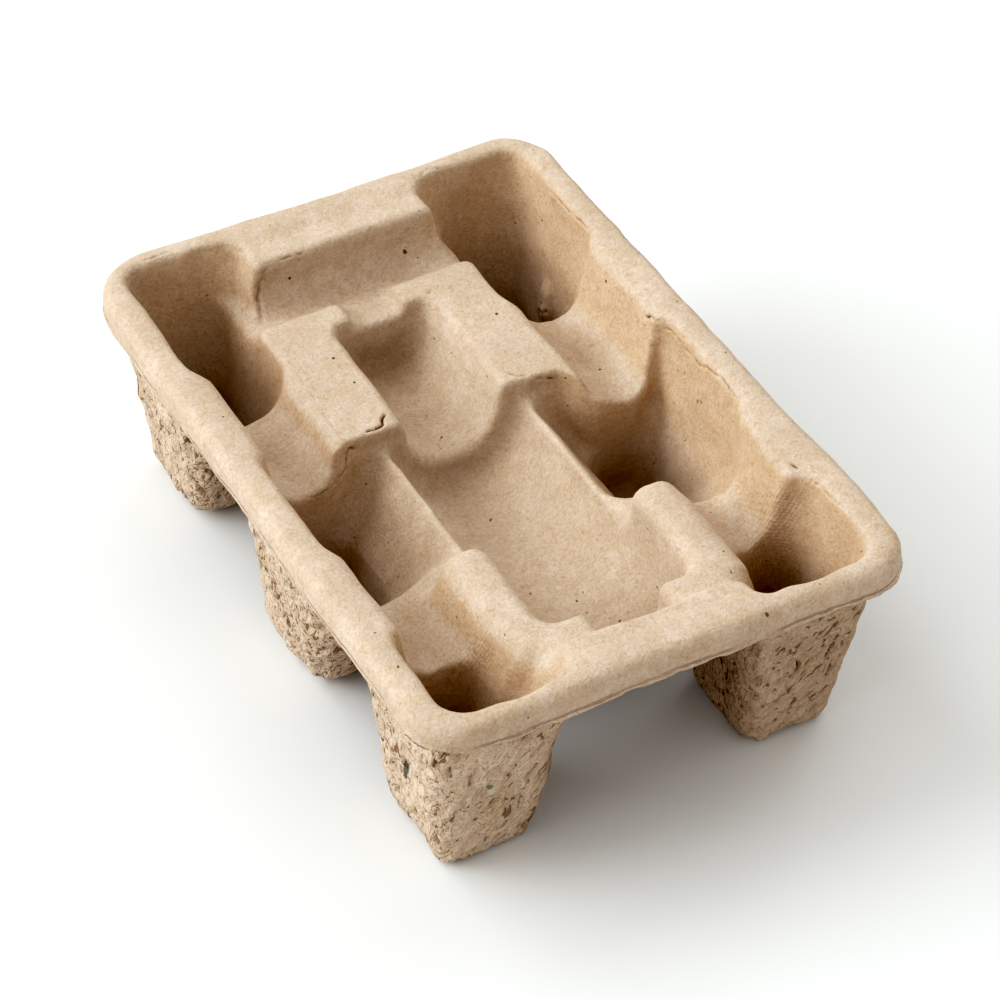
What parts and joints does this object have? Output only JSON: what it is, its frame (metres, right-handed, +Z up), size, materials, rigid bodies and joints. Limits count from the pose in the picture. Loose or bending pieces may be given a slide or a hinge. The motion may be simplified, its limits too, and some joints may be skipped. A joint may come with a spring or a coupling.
{
  "type": "molded pulp tray insert",
  "caption": "Moulded paper-pulp tray with a rolled rim, hollow tapered feet and a shaped cradle that holds a small lying bottle between blocks and ridges.",
  "frame": {"origin": "under the middle of the rim, at the level the feet stand on", "axes": "+Z up, +Y along the tray towards the wide back flange, +X across the tray"},
  "size_m": [0.13, 0.183, 0.059],
  "materials": {
    "pulp": "matte"
  },
  "bodies": {
    "root": {"tray": "pulp"}
  },
  "joints": []
}
